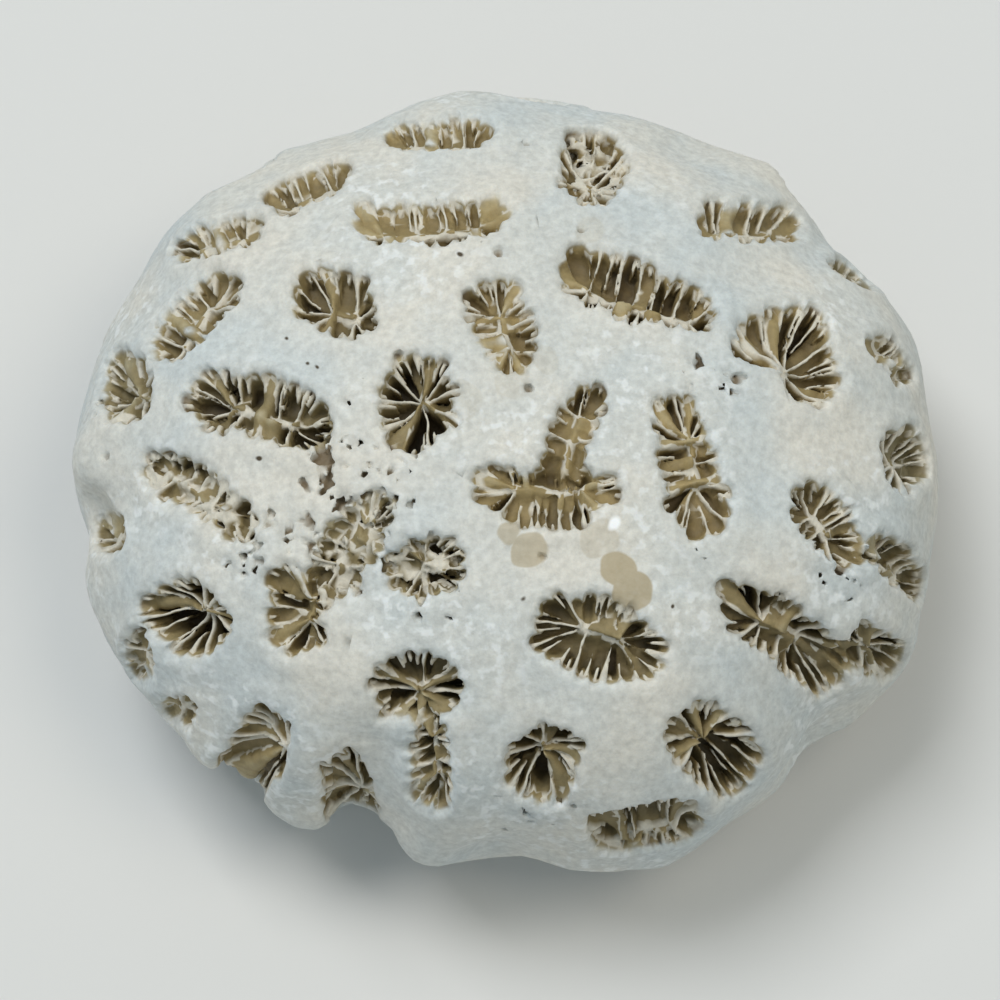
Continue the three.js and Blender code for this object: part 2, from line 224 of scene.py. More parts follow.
# Holes that worms bored: across, up and half-width in mm
BORE_HOLES = [
    (-0.1, 15.5, 0.26),
    (5.1, 16.9, 0.24),
    (1.8, 7.0, 0.24),
    (-24.7, 2.7, 0.24),
    (1.6, 22.4, 0.24),
    (-6.4, 9.0, 0.3),
    (14.8, 7.6, 0.3),
    (-11.0, 4.4, 0.3),
    (2.6, -3.6, 0.2),
]

# Patches eaten to a sponge: across, up, reach in mm and how much of the patch is eaten, 0 to 1
SPONGY_PATCHES = [
    (-11.2, 3.7, 2.3, 0.75),
    (-10.9, 1.6, 1.9, 0.6),
    (-9.0, 1.8, 1.6, 0.4),
    (-7.2, 1.4, 1.7, 0.5),
    (-8.6, -3.2, 2.2, 0.9),
    (-10.6, -1.0, 2.4, 0.45),
    (-15.2, -3.4, 1.6, 0.55),
    (-13.6, -2.0, 2.0, 0.35),
    (-4.8, -4.8, 2.2, 0.45),
    (-6.0, 3.6, 1.2, 0.8),
    (12.4, 8.0, 1.1, 0.8),
    (14.4, 8.2, 1.3, 0.45),
    (12.2, -2.6, 1.0, 0.7),
    (21.6, -4.4, 1.4, 0.7),
    (-24.0, -2.4, 1.2, 0.6),
    (-24.6, 7.0, 1.8, 0.5),
    (2.2, -19.4, 2.0, 0.3),
]

# Flat tan stains: across, up and reach in mm, then how strong each is, 0 to 1
STAINS = [
    (0.6, -2.05, 0.72, 0.55),
    (1.85, -3.3, 1.05, 0.6),
    (6.2, -2.5, 1.2, 0.28),
    (7.5, -4.4, 1.05, 0.75),
    (8.2, -5.6, 1.2, 0.75),
    (2.8, 8.8, 0.9, 0.16),
    (0.8, 7.3, 1.1, 0.14),
    (-2.4, 6.2, 1.3, 0.14),
    (5.6, 16.8, 1.0, 0.16),
]

# Dark specks: across, up and reach in mm
SPECKS = [
    (-2.4, 15.3, 0.16),
    (1.6, -6.1, 0.14),
    (10.7, -6.5, 0.14),
    (-13.5, 10.1, 0.13),
    (-12.0, 8.4, 0.12),
    (-11.5, 8.3, 0.12),
    (-15.1, 2.7, 0.18),
    (-1.2, 16.1, 0.12),
    (-8.6, 7.6, 0.1),
    (9.3, 1.1, 0.1),
    (-18.4, 5.1, 0.1),
]

# A chip of clean white: across, up and reach in mm
WHITE_CHIP = (7.0, -1.45, 0.42)

# The block of voxels that holds the head, and the step of its coarse lattice, in mm
LOW_CORNER = np.array([-29.0, -27.5, -1.0])
HIGH_CORNER = np.array([29.0, 27.5, 27.5])
COARSE = 0.5

BAND = 0.5
ADAPTIVITY = 0.01

# The block of random lumps: how many it has each way, and the steps of each
LUMPS = 16
LUMP_STEPS = 8
TILE = LUMPS * LUMP_STEPS

# Seeds of the random shapes. Each calice adds its own number to the first three.
ACROSS_SEED = 20
UP_SEED = 220
SEPTUM_SEED = 500
LUMP_SEED = 7
SKIN_SEED = 11
FINE_SKIN_SEED = 12
HOLE_SEED = 40
PATCH_SEED = 41
PORE_SEED = 42
FINE_PORE_SEED = 43
SPONGE_SEED = 700
CRUMB_SEED = 701
FINE_CRUMB_SEED = 702
FLOOR_SEED = 703
WALL_SEED = 704
TANGLE_SEED = 705
TANGLE_START_SEED = 706
FINE_TANGLE_SEED = 707

# How far a septum stands off its even place, as a share of the room between two
SEPTUM_SHIFT = 0.26

# How far a septum stops short of the middle at most, as a share of the calice's half-width
SEPTUM_STOP = 0.3

# How much thinner each rank of septa is than the one before
RANK_THINNING = 0.14

# How far the septa's edges lie below the skin in mm: all of them, one by one, and each rank more
EDGE_DROP = 0.1
EDGE_DROPS = (-0.05, 0.3)
RANK_DROP = 0.1

# How far those edges fall towards the middle, as a share of the calice's depth
EDGE_FALL = 0.42

# How far the ends of the gaps wander and are pinched to petals, in mm
GAP_WANDER = 0.34
PETAL_PINCH = 0.34

# How deep the gaps are as a share of the calice's depth, and how many of them are filled how far
GAP_DEPTHS = (0.6, 1.35)
FILLED_DEPTH = 0.5
FILLED_SHARE = 0.12

# How deep the top of the spongy middle lies, as a share of the calice's depth
CORE_DEPTH = 0.55

# How far past the horizon of the picture the calices run, as the cosine between skin and sight
RIM_FACING = -0.25

# How far round the skin may turn from a side calice's middle, as the cosine between the two
SIDE_FACING = 0.3

# Lamps and sky: places in metres, linear colours
LAMP_SIZE = 0.6
LAMP_AIM = (0, 0, 0.012)
KEY_PLACE = (-0.405, 0.405, 1.23)
KEY_COLOUR = (0.96, 0.98, 1.0)
SIDE_PLACE = (0.57, 0.0, 1.23)
SIDE_COLOUR = (1.0, 0.9, 0.74)
SKY_COLOUR = (0.8, 0.93, 1.0, 1.0)
SKY_STRENGTH = 0.4

# Sockets of a colour mix that are told apart by number
FACTOR, COLOUR_A, COLOUR_B, MIXED = 0, 6, 7, 2


def linear(code):
    """A linear colour from an sRGB hex value."""
    parts = [int(code[i : i + 2], 16) / 255 for i in (1, 3, 5)]
    return [p / 12.92 if p <= 0.04045 else ((p + 0.055) / 1.055) ** 2.4 for p in parts] + [1.0]


def plain_head(points):
    """0 on the plain head's surface, below 0 inside it; points are in mm, last axis x, y, z."""
    x, y, z = points[..., 0], points[..., 1], points[..., 2]
    over = z > BELT_HEIGHT
    lift = (z - BELT_HEIGHT) / np.where(over, HEIGHT - BELT_HEIGHT, UNDER_REACH)
    lean = np.where(over, lift * lift, 0)
    across = (x - CROWN_LEAN[0] * lean) / HALF_WIDTH
    deep = (y - CROWN_LEAN[1] * lean) / HALF_DEPTH
    bearing = np.arctan2(deep, across)
    share = np.ones_like(bearing)
    for degrees, spread, out in OUTLINE_LOBES:
        apart = bearing - math.radians(degrees)
        wrapped = np.degrees(np.arctan2(np.sin(apart), np.cos(apart)))
        share += out / HALF_WIDTH * np.exp(-((wrapped / spread) ** 2))
    reach = np.hypot(across, deep) / share
    return (reach**SIDE_POWER + np.abs(lift) ** RISE_POWER) ** (1 / SIDE_POWER) - 1


def meet_head(start, direction, reach, field=plain_head):
    """The first point of the head along a ray, or None; field is below 0 inside the head."""
    gone = np.arange(0, reach, RAY_STEP)
    along = start + gone[:, None] * direction
    inside = np.flatnonzero(field(along) < 0)
    if not len(inside):
        return None
    near, far = gone[max(inside[0] - 1, 0)], gone[inside[0]]
    for _ in range(HALVINGS):
        middle = (near + far) / 2
        if field(start + middle * direction) < 0:
            far = middle
        else:
            near = middle
    return start + near * direction


def seen_point(across, up, field=plain_head):
    """The point of the head seen at a place in the picture, drawn in from just past its edge."""
    for share in np.arange(1, 0.8, -0.004):
        mark = AIM + np.array([across * share, 0, 0]) + PICTURE_UP * (up * share)
        direction = (mark - EYE) / np.linalg.norm(mark - EYE)
        start = EYE + direction * (EYE_DISTANCE - HEAD_REACH)
        hit = meet_head(start, direction, 2 * HEAD_REACH, field)
        if hit is not None:
            return hit
    raise RuntimeError("a place of the picture lies off the head")


def in_picture(points):
    """Where the eye sees each point: across and up in mm."""
    offset = points - EYE
    distance = offset @ SIGHT
    across = offset[..., 0] / distance * EYE_DISTANCE
    up = (offset @ PICTURE_UP) / distance * EYE_DISTANCE
    return across, up


def lump_tile():
    """A block of smooth random values from -1 to 1 that repeats."""
    tile = np.random.default_rng(LUMP_SEED).uniform(-1, 1, (LUMPS,) * 3).astype(np.float32)
    for axis in range(3):
        part = (np.arange(LUMP_STEPS) / LUMP_STEPS).astype(np.float32)
        part = part * part * (3 - 2 * part)
        ahead = np.roll(tile, -1, axis)
        steps = [tile + (ahead - tile) * share for share in part]
        tile = np.stack(steps, axis=axis + 1)
        shape = list(tile.shape)
        shape[axis : axis + 2] = [shape[axis] * LUMP_STEPS]
        tile = tile.reshape(shape)
    return tile


LUMP_TILE = lump_tile()


def lumps(points, size, seed):
    """Smooth random values from -1 to 1, with lumps of the given size in mm. Each seed turns
    its block another way, so that no lattice shows."""
    rng = np.random.default_rng(seed)
    start = rng.integers(0, TILE, 3)
    turn, _ = np.linalg.qr(rng.normal(size=(3, 3)))
    turned = points @ (turn * LUMP_STEPS / size).astype(points.dtype)
    spot = turned.astype(np.int32) + (start + 100 * TILE).astype(np.int32)
    spot &= TILE - 1
    return LUMP_TILE[spot[..., 0], spot[..., 1], spot[..., 2]]


def smooth_max(a, b, round_off):
    """The larger of two fields, with a rounded edge where they meet."""
    blend = np.maximum(round_off - np.abs(a - b), 0) / round_off
    return np.maximum(a, b) + blend * blend * round_off * 0.25


def smooth_min(a, b, round_off):
    """The smaller of two fields, with a rounded edge where they meet."""
    return -smooth_max(-a, -b, round_off)


def step_up(low, high, value):
    """A smooth climb from 0 at low to 1 at high."""
    part = np.clip((value - low) / (high - low), 0, 1)
    return part * part * (3 - 2 * part)


def coarse_head():
    """The skin's distance field on a coarse lattice, with its low swellings and unevenness."""
    counts = np.ceil((HIGH_CORNER - LOW_CORNER) / COARSE).astype(int) + 2
    axes = [LOW_CORNER[i] + np.arange(counts[i]) * COARSE for i in range(3)]
    points = np.stack(np.meshgrid(*axes, indexing="ij"), axis=-1)
    field = plain_head(points)
    slopes = np.gradient(field, COARSE)
    steepness = np.sqrt(sum(slope * slope for slope in slopes))
    field = field / np.maximum(steepness, 0.01)
    for across, up, reach, height in SWELLINGS:
        gap = points - seen_point(across, up)
        field -= height * np.exp(-np.sum(gap * gap, axis=-1) / reach**2)
    # Unevenness: lumps 6.5 mm across that stand out by 0.28 mm, and 2.6 mm across by 0.1 mm
    field += 0.28 * lumps(points, 6.5, SKIN_SEED) + 0.1 * lumps(points, 2.6, FINE_SKIN_SEED)
    return field.astype(np.float32)


def refine(field, low, counts, step):
    """A stretch of the coarse field on a finer lattice that starts at low."""
    for axis in (2, 1, 0):
        place = (low[axis] - LOW_CORNER[axis] + np.arange(counts[axis]) * step) / COARSE
        place = np.clip(place, 0, field.shape[axis] - 1.001)
        base = place.astype(int)
        shape = [1, 1, 1]
        shape[axis] = -1
        part = (place - base).astype(np.float32).reshape(shape)
        near = np.take(field, base, axis)
        field = near + (np.take(field, base + 1, axis) - near) * part
    return field


def at_points(field, points):
    """The coarse field at loose points."""
    points = points.reshape(-1, 3)
    place = np.clip((points - LOW_CORNER) / COARSE, 0, np.array(field.shape) - 1.001)
    base = place.astype(int)
    part = place - base
    total = np.zeros(len(points))
    for corner in np.ndindex(2, 2, 2):
        weight = np.prod(np.where(corner, part, 1 - part), axis=1)
        spot = base + corner
        total += weight * field[spot[:, 0], spot[:, 1], spot[:, 2]]
    return total


class Calice:
    """One calice: the chain that gives its outline, and the line that its septa run to."""

    def __init__(self, number, chain, heart, depth_share, tan, crumble):
        self.number = number
        self.chain = np.array(chain, float)
        self.heart = np.array(heart, float)
        self.tan = tan
        self.crumble = crumble
        self.lengths = np.linalg.norm(np.diff(self.chain[:, :2], axis=0), axis=1)
        self.half = float(self.chain[:, 2].mean())
        self.depth = depth_share * self.half

    def outside(self, x, y):
        """How far each place lies outside the calice's outline."""
        best = None
        for i, length in enumerate(self.lengths):
            start, end = self.chain[i], self.chain[i + 1]
            way = (end[:2] - start[:2]) / length
            along = (x - start[0]) * way[0] + (y - start[1]) * way[1]
            beside = -(x - start[0]) * way[1] + (y - start[1]) * way[0]
            part = np.clip(along / length, 0, 1)
            found = np.hypot(along - part * length, beside)
            found = found - start[2] - (end[2] - start[2]) * part
            best = found if best is None else smooth_min(best, found, 0.4)
        return best

    def around(self, x, y):
        """Where each place lies round the calice, from 0 to 1, how wide the whole way round is
        there, and how far it is from the line that the septa run to."""
        start, end = self.heart[0], self.heart[-1]
        length = max(np.linalg.norm(end - start), 0.01)
        way = (end - start) / length if len(self.heart) > 1 else np.array([1.0, 0.0])
        along = (x - start[0]) * way[0] + (y - start[1]) * way[1]
        beside = -(x - start[0]) * way[1] + (y - start[1]) * way[0]
        over = along - np.clip(along, 0, length)
        away = np.hypot(over, beside)
        turn = np.arctan2(over, np.abs(beside) + 1e-6)
        half_way = length + math.pi * self.half
        place = np.clip(along, 0, length) + (turn + math.pi / 2) * self.half
        place = np.where(beside >= 0, place, 2 * half_way - place)
        widened = np.where(np.abs(over) > 0, away / self.half, 1)
        return place / (2 * half_way), 2 * half_way * widened, away

    def round_length(self):
        """The length of the outline, all the way round."""
        return 2 * self.lengths.sum() + math.pi * (self.chain[0, 2] + self.chain[-1, 2])


class SeenCalice(Calice):
    """A calice placed in the picture by across and up."""

    def __init__(self, number, chain, heart, depth_share, tan, crumble):
        super().__init__(number, chain, heart, depth_share, tan, crumble)
        steps = [
            start + (end - start) * share
            for start, end in zip(self.chain, self.chain[1:])
            for share in (0, 0.33, 0.67, 1)
        ]
        self.places = np.array([seen_point(x, y) for x, y, _ in steps])
        self.reach = 1.5 * self.half + 0.3
        margin = self.reach + 1.4
        self.low = self.places.min(axis=0) - margin
        self.high = self.places.max(axis=0) + margin

    def flat(self, feet, normals):
        """Places on the skin as across and up, and how far the calice is shut there."""
        across, up = in_picture(feet)
        facing = -(normals @ SIGHT)
        away = [np.sum((feet - place) ** 2, axis=-1) for place in self.places]
        beyond = np.sqrt(np.min(away, axis=0)) - self.reach
        shut = np.maximum(beyond, 0) + np.maximum(RIM_FACING - facing, 0) * 5
        return across, up, shut


class SideCalice(Calice):
    """A calice placed by its bearing and height, with a plane of its own that touches the skin."""

    def __init__(self, number, bearing, height, half_length, half, tilt):
        chain = [(-half_length, 0, half), (half_length, 0.2, half * 0.9)]
        heart = [(-0.6 * half_length, -0.2), (0.6 * half_length, 0.1)]
        super().__init__(number, chain, heart, 1.1, 0.6, 0.0)
        turn = math.radians(bearing)
        out = np.array([math.cos(turn), math.sin(turn), 0])
        start = out * 2 * HALF_WIDTH + np.array([0, 0, height])
        self.middle = meet_head(start, -out, 2 * HALF_WIDTH)
        step = 0.05
        normal = np.array(
            [
                plain_head(self.middle + step * axis) - plain_head(self.middle - step * axis)
                for axis in np.eye(3)
            ]
        )
        self.normal = normal / np.linalg.norm(normal)
        level = np.cross([0, 0, 1], self.normal)
        level /= np.linalg.norm(level)
        rise = np.cross(self.normal, level)
        lean = math.radians(tilt)
        self.along = level * math.cos(lean) + rise * math.sin(lean)
        self.beside = np.cross(self.normal, self.along)
        margin = half_length + half + 1.2
        self.low = self.middle - margin
        self.high = self.middle + margin

    def flat(self, feet, normals):
        """Places on the skin in the calice's plane, and how far the calice is shut there."""
        gap = feet - self.middle
        shut = np.maximum(SIDE_FACING - normals @ self.normal, 0) * 8
        return gap @ self.along, gap @ self.beside, shut


def all_calices():
    """Every calice of the head. The numbers seed their random shapes."""
    seen = [SeenCalice(i, *line) for i, line in enumerate(SEEN_CALICES)]
    sides = [SideCalice(100 + i, *line) for i, line in enumerate(SIDE_CALICES)]
    return seen + sides


def septa(calice, depth, outside, around, count, rng, settings):
    """The field of a calice's septa, and how far below its septum's edge each point lies."""
    place, way_round, away = around
    half = calice.half
    spacing = settings.septum_spacing / MM
    thick = settings.septum_thickness / MM * (0.8 + 0.9 * step_up(-0.5, 0, outside / half))
    slope = step_up(0, 1, -outside / half)
    blades = below = None
    for rank in range(3):
        total = count * 2**rank
        shift = rng.uniform(-SEPTUM_SHIFT, SEPTUM_SHIFT, total)
        order = place * total
        nearest = np.round(order).astype(int)
        room = way_round / total
        off = np.abs(order - nearest - shift[nearest % total]) * room
        reach_in = rng.uniform(0.0, SEPTUM_STOP, total)[nearest % total] * half
        lowered = rng.uniform(*EDGE_DROPS, total)[nearest % total]
        fall = (EDGE_FALL + RANK_DROP * rank) * calice.depth * slope
        edge = EDGE_DROP + lowered + RANK_DROP * rank + fall
        blade = np.maximum(off - thick * (1 - RANK_THINNING * rank) / 2, edge - depth)

        # The first rank reaches the middle. The others stand only where there is room for them.
        if rank == 0:
            blade = np.maximum(blade, 0.3 * reach_in - away)
            blades, below = blade, depth - edge
            continue
        if rank == 1:
            blade = np.maximum(blade, (0.6 * spacing - room) * 1.5)
            blade = np.maximum(blade, reach_in + 0.3 * half - away)
        else:
            blade = np.maximum(blade, (0.36 * spacing - room) * 1.5)
            blade = np.maximum(blade, reach_in - 0.34 * half - outside)
        below = np.where(blade < blades, depth - edge, below)
        blades = np.minimum(blades, blade)
    return blades, below


def open_space(calice, points, depth, outside, around, cells, rng, settings):
    """The open space of a calice, below 0 in it: petal-shaped gaps of uneven reach and depth, a
    few of them filled, over a floor that rises inwards."""
    place, way_round, away = around

    # Which gap each point is in, and where across it, from -1 to 1
    order = place * cells
    cell = np.floor(order).astype(int) % cells
    lateral = 2 * (order - np.floor(order)) - 1
    room = way_round / cells
    ragged = rng.uniform(-GAP_WANDER, GAP_WANDER, cells)
    ragged = ragged[cell] * np.clip(room / (settings.septum_spacing / MM), 0.3, 1)
    petal = PETAL_PINCH * np.clip(room, 0.3, 1.2) * np.abs(lateral) ** 2.5
    sunk = rng.uniform(*GAP_DEPTHS, cells)
    filled = rng.uniform(0, 1, cells) < FILLED_SHARE * (0.4 + calice.tan)
    sunk = np.where(filled, FILLED_DEPTH, sunk)[cell]

    # The floor rises towards the middle, is domed where a gap is filled, and is rough
    rise = 0.45 * np.exp(-((away / (0.3 * calice.half)) ** 2))
    floor = calice.depth * sunk * (1 - rise)
    domed = 0.3 * (1 - lateral * lateral) * filled[cell]
    floor = floor - domed + 0.12 * lumps(points, 0.8, FLOOR_SEED)

    # The walls lean in by 0.16 mm for each mm down
    wall = outside + ragged + petal + 0.16 * depth + 0.09 * lumps(points, 0.45, WALL_SEED)
    return smooth_max(wall, depth - floor, 0.4)


def spongy_middle(calice, points, depth, away, solid, below):
    """Adds the spongy middle of a calice to its septa and crumbles them. Where much of the calice
    has crumbled, a tangle of thin walls stands in it too."""
    spongy = lumps(points, 0.4, SPONGE_SEED)
    top = CORE_DEPTH * calice.depth
    core = np.maximum(away - 0.13 * calice.half - 0.2 * spongy, top - depth)
    below = np.where(core < solid, depth - top, below)
    solid = np.minimum(solid, core)

    # Every septum is a little crumbled, and more so the worse its calice is
    crumble = 0.07 + 0.4 * calice.crumble
    eaten = lumps(points, 0.7, CRUMB_SEED) + 0.6 * lumps(points, 0.33, FINE_CRUMB_SEED)
    solid = solid + np.maximum(crumble * (eaten + 0.1), 0) * 0.5
    if calice.crumble > 0.25:
        tangle = lumps(points, 1.0, TANGLE_SEED) + 0.6 * lumps(points, 0.6, FINE_TANGLE_SEED)
        tangle = 0.3 * np.abs(tangle) - 0.07
        start = (0.2 + 0.7 * np.abs(lumps(points, 1.5, TANGLE_START_SEED))) * calice.depth
        tangle = np.maximum(tangle, start - depth)
        below = np.where(tangle < solid, depth - start, below)
        solid = np.minimum(solid, tangle)
    return solid, below


def hollow_out(calice, points, skin, normals, settings):
    """How far each point lies outside a calice's outline, the open space of the calice as a
    field that is below 0 in it, the field of its septa, and how far below its septum's edge
    each point lies."""
    depth = -skin
    feet = points - skin[:, None] * normals
    x, y, shut = calice.flat(feet, normals)
    x = x + 0.16 * lumps(feet, 1.3, ACROSS_SEED + calice.number)
    y = y + 0.16 * lumps(feet, 1.3, UP_SEED + calice.number)
    outside = calice.outside(x, y) + shut
    around = calice.around(x, y)
    count = max(5, int(round(calice.round_length() / (2 * settings.septum_spacing / MM))))
    rng = np.random.default_rng(SEPTUM_SEED + calice.number)
    blades, below = septa(calice, depth, outside, around, count, rng, settings)
    void = open_space(calice, points, depth, outside, around, 2 * count, rng, settings)
    solid, below = spongy_middle(calice, points, depth, around[2], blades, below)
    return outside, void, solid, below


def box_of(low, high, counts, voxel):
    """The lattice slices that hold a box, and where they start."""
    first = np.clip(np.floor((low - LOW_CORNER) / voxel).astype(int), 0, counts - 3)
    last = np.clip(np.ceil((high - LOW_CORNER) / voxel).astype(int), first + 3, counts)
    return tuple(slice(a, b) for a, b in zip(first, last)), first


def grow_field(settings, voxel):
    """The whole head as one field on the voxel lattice, below 0 in the skeleton."""
    counts = np.ceil((HIGH_CORNER - LOW_CORNER) / voxel).astype(int)
    coarse = coarse_head()
    skin = refine(coarse, LOW_CORNER, counts, voxel)
    field = skin.copy()
    calices = all_calices()
    lip = settings.lip_height / MM
    for calice in calices:
        box, first = box_of(calice.low, calice.high, counts, voxel)
        inner = skin[box]
        deepest = -1.5 * calice.depth - 0.6
        spots = np.nonzero((inner < 0.8) & (inner > deepest))
        slopes = np.gradient(inner, voxel)
        normals = np.stack([slope[spots] for slope in slopes], axis=-1)
        normals /= np.maximum(np.linalg.norm(normals, axis=-1, keepdims=True), 1e-6)
        points = (LOW_CORNER + (np.stack(spots, axis=-1) + first) * voxel).astype(np.float32)
        depths = inner[spots]
        x, y, shut = calice.flat(points - depths[:, None] * normals, normals)
        close = np.flatnonzero(calice.outside(x, y) + shut < 2.0)
        spots = tuple(spot[close] for spot in spots)
        outside, void, solid, _ = hollow_out(
            calice, points[close], depths[close], normals[close], settings
        )
        here = field[box]
        # The worn lip, 0.5 mm out from the outline, then the open space without its septa
        values = here[spots] - lip * np.exp(-(((outside - 0.5) / 0.8) ** 2))
        free = smooth_max(void, -solid, 0.05)
        here[spots] = smooth_max(values, -free, settings.lip_round / MM)
    on_skin = partial(at_points, coarse)
    for across, up, half in BORE_HOLES:
        bore(field, seen_point(across, up, on_skin), half, voxel, counts)
    for across, up, reach, eaten in SPONGY_PATCHES:
        eat(field, skin, seen_point(across, up, on_skin), reach, eaten, voxel, counts)

    # The flat cut underneath, with a worn edge
    heights = LOW_CORNER[2] + np.arange(counts[2]) * voxel
    foot = int(1.5 / voxel) + 2
    floor_field = (-heights).astype(np.float32)[None, None, :foot]
    field[..., :foot] = smooth_max(field[..., :foot], floor_field, 0.5)
    return field, coarse, calices


def bore(field, middle, half, voxel, counts):
    """Sinks one small hole."""
    reach = half + 1.0
    box, first = box_of(middle - reach, middle + reach, counts, voxel)
    here = field[box]
    places = np.indices(here.shape).transpose(1, 2, 3, 0) + first
    points = LOW_CORNER + places * voxel
    gap = points - middle
    uneven = 0.5 * half * lumps(points, 1.5 * half, HOLE_SEED)
    gap = np.sqrt(np.sum(gap * gap, axis=-1)) + uneven
    here[...] = smooth_max(here, (half * 1.3 - gap).astype(np.float32), 0.12)


def eat(field, skin, middle, reach, eaten, voxel, counts):
    """Eats one patch of the skin to a sponge of small pores that run into each other."""
    box, first = box_of(middle - reach - 0.5, middle + reach + 0.5, counts, voxel)
    here = field[box]
    places = np.indices(here.shape).transpose(1, 2, 3, 0) + first
    points = (LOW_CORNER + places * voxel).astype(np.float32)
    gap = points - middle
    away = np.sqrt(np.sum(gap * gap, axis=-1)) / reach + 0.3 * lumps(points, 1.1, PATCH_SEED)
    pores = 0.7 * lumps(points, 0.62, PORE_SEED) + 0.5 * lumps(points, 0.34, FINE_PORE_SEED)
    open_pore = (pores - 0.5 + eaten * 0.62 * (1.25 - away)) * 0.45
    open_pore = np.where(away < 1.3, open_pore, -1)

    # The more a patch is eaten, the deeper its pores go, from 0.3 mm
    shallow = 0.3 + 0.6 * eaten + skin[box]
    pore = np.minimum(open_pore, shallow)
    here[...] = smooth_max(here, pore.astype(np.float32), 0.08)


def mesh_of(field, voxel, name):
    """The field's surface as a mesh in metres."""
    np.clip(field, -BAND, BAND, out=field)
    grid = openvdb.FloatGrid(background=BAND)
    grid.copyFromArray(field.astype(np.float32))
    points, triangles, quads = grid.convertToPolygons(isovalue=0.0, adaptivity=ADAPTIVITY)
    places = (LOW_CORNER + points * voxel) * MM
    mesh = bpy.data.meshes.new(name)
    mesh.vertices.add(len(places))
    mesh.vertices.foreach_set("co", places.astype(np.float32).ravel())
    corners = np.concatenate([triangles[:, ::-1].ravel(), quads[:, ::-1].ravel()]).astype(np.int32)
    sizes = np.concatenate([np.full(len(triangles), 3), np.full(len(quads), 4)])
    starts = np.concatenate([[0], np.cumsum(sizes)[:-1]]).astype(np.int32)
    mesh.loops.add(len(corners))
    mesh.loops.foreach_set("vertex_index", corners)
    mesh.polygons.add(len(sizes))
    mesh.polygons.foreach_set("loop_start", starts)
    mesh.update(calc_edges=True)
    mesh.validate()
    return mesh


def crumbs_of(mesh):
    """The vertices of every crumb that floats free of the head."""
    edges = np.zeros(len(mesh.edges) * 2, np.int32)
    mesh.edges.foreach_get("vertices", edges)
    edges = edges.reshape(-1, 2)
    label = np.arange(len(mesh.vertices))
    while True:
        lowest = label.copy()
        np.minimum.at(lowest, edges[:, 0], label[edges[:, 1]])
        np.minimum.at(lowest, edges[:, 1], label[edges[:, 0]])
        lowest = lowest[lowest]
        lowest = lowest[lowest]
        if np.array_equal(lowest, label):
            break
        label = lowest
    names, sizes = np.unique(label, return_counts=True)
    return np.flatnonzero(label != names[np.argmax(sizes)])


def thin_out(piece, most):
    """Brings a piece down to at most this many triangles and drops its crumbs."""
    sizes = np.zeros(len(piece.data.polygons), np.int32)
    piece.data.polygons.foreach_get("loop_total", sizes)
    shrink = piece.modifiers.new("thin_out", "DECIMATE")
    shrink.ratio = min(1.0, most / float(np.sum(sizes - 2)))
    seen = piece.evaluated_get(bpy.context.evaluated_depsgraph_get())
    slim = bpy.data.meshes.new_from_object(seen)
    old = piece.data
    piece.modifiers.clear()
    piece.data = slim
    bpy.data.meshes.remove(old)
    crumbs = crumbs_of(slim)
    shell = bmesh.new()
    shell.from_mesh(slim)
    shell.verts.ensure_lookup_table()
    bmesh.ops.delete(shell, geom=[shell.verts[i] for i in crumbs], context="VERTS")
    shell.to_mesh(slim)
    shell.free()


def store(mesh, name, values):
    """Keeps one number for each point of the mesh under a name that the material reads."""
    layer = mesh.attributes.new(name, "FLOAT", "POINT")
    layer.data.foreach_set("value", np.asarray(values, np.float32))


def mark_surface(mesh, coarse, calices, settings):
    """Stores at each point what the material needs: how deep it lies and what it belongs to."""
    places = np.zeros(len(mesh.vertices) * 3, np.float32)
    mesh.vertices.foreach_get("co", places)
    points = places.reshape(-1, 3).astype(float) / MM
    skin = at_points(coarse, points)
    slopes = [
        (at_points(coarse, points + COARSE * axis) - at_points(coarse, points - COARSE * axis))
        for axis in np.eye(3)
    ]
    normals = np.stack(slopes, axis=-1)
    normals /= np.maximum(np.linalg.norm(normals, axis=-1, keepdims=True), 1e-6)
    inside = np.zeros(len(points))
    below = np.zeros(len(points))
    tan = np.full(len(points), 0.5)
    for calice in calices:
        near = np.flatnonzero(np.all((points > calice.low) & (points < calice.high), axis=1))
        outside, _, solid, sunk = hollow_out(
            calice, points[near], skin[near], normals[near], settings
        )

        # A point is inside a calice when it is within the outline and below the worn lip, in mm
        here = step_up(0.3, -0.05, outside) * step_up(0.12, 0.34, -skin[near])
        better = here > inside[near]
        picked = near[better]
        inside[picked] = here[better]
        below[picked] = np.where(solid[better] < 0.12, np.maximum(sunk[better], 0), 1.0)
        tan[picked] = calice.tan
    store(mesh, "depth", np.maximum(-skin, 0))
    store(mesh, "inside", inside)
    store(mesh, "below", below)
    store(mesh, "tan", tan)


def add(tree, kind, settings=None, links=None):
    """Adds one node, sets its properties, sockets and colour stops, and links its inputs."""
    node = tree.nodes.new(kind)
    for key, value in (settings or {}).items():
        if key == "stops":
            elements = node.color_ramp.elements
            for i, (place, colour) in enumerate(value):
                element = elements[i] if i < 2 else elements.new(place)
                element.position = place
                element.color = colour if len(colour) == 4 else (*colour * 3, 1)
        elif isinstance(key, str) and hasattr(node, key):
            setattr(node, key, value)
        else:
            node.inputs[key].default_value = value
    for key, source in (links or {}).items():
        tree.links.new(source, node.inputs[key])
    return node


